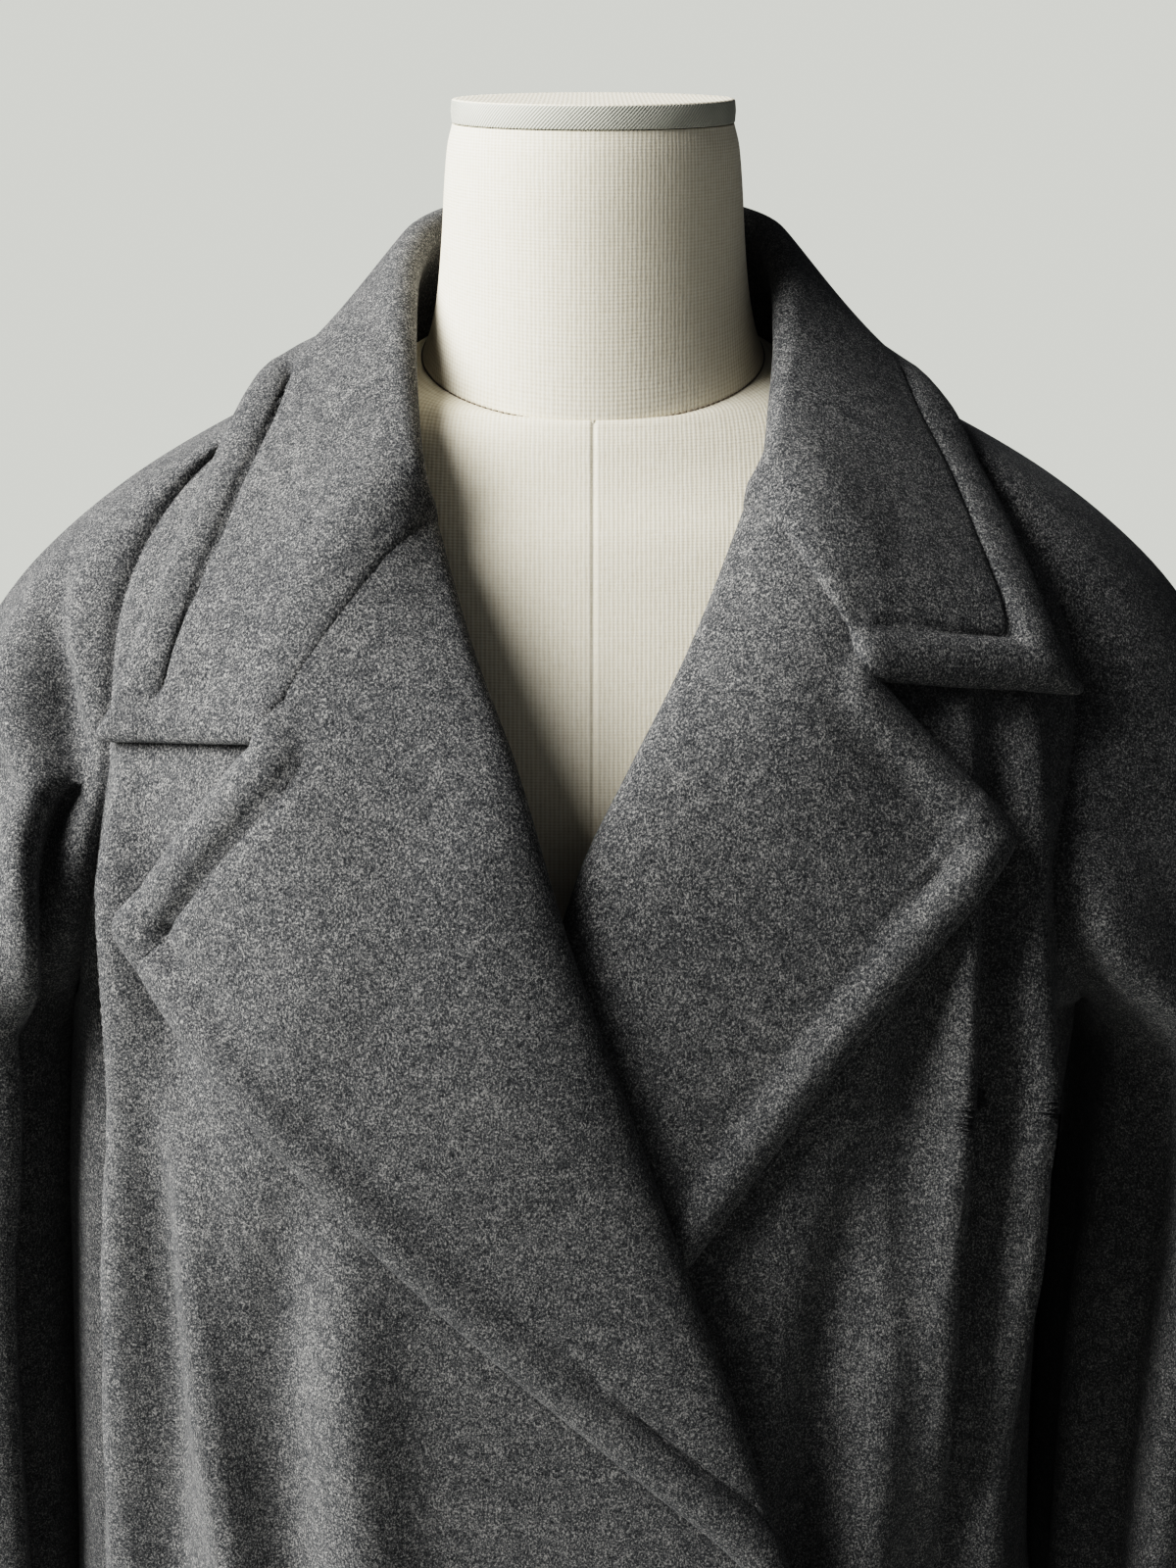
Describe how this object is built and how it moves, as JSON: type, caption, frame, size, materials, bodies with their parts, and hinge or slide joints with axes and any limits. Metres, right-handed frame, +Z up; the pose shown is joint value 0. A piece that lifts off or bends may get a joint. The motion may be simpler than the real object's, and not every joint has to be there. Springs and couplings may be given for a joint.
{
  "type": "double-breasted coat on a dress form",
  "caption": "Long double-breasted wool coat with broad notched lapels and raglan sleeves, worn open-necked on a limbless dress form with a round foot.",
  "frame": {"origin": "middle of the stand's foot, on the floor", "axes": "+Z up; the coat's front faces -Y; the wearer's right side is at -X"},
  "size_m": [0.6281, 0.3959, 1.52],
  "materials": {
    "wool": "napped charcoal melange coating, matt",
    "horn": "dark horn, low polish",
    "linen": "natural cream linen, slubbed",
    "tape": "grey-cream twill",
    "steel": "satin",
    "iron": "black, half matt"
  },
  "bodies": {
    "root": {"back": "wool", "button_left_1": "horn", "button_left_2": "horn", "button_right_1": "horn", "button_right_2": "horn", "collar": "wool", "foot": "iron", "form_neck": "linen", "form_torso": "linen", "front_left": "wool", "front_right": "wool", "lapel_left": "wool", "lapel_right": "wool", "neck_cap": "tape", "pole": "steel", "sleeve_left": "wool", "sleeve_right": "wool"}
  },
  "joints": []
}
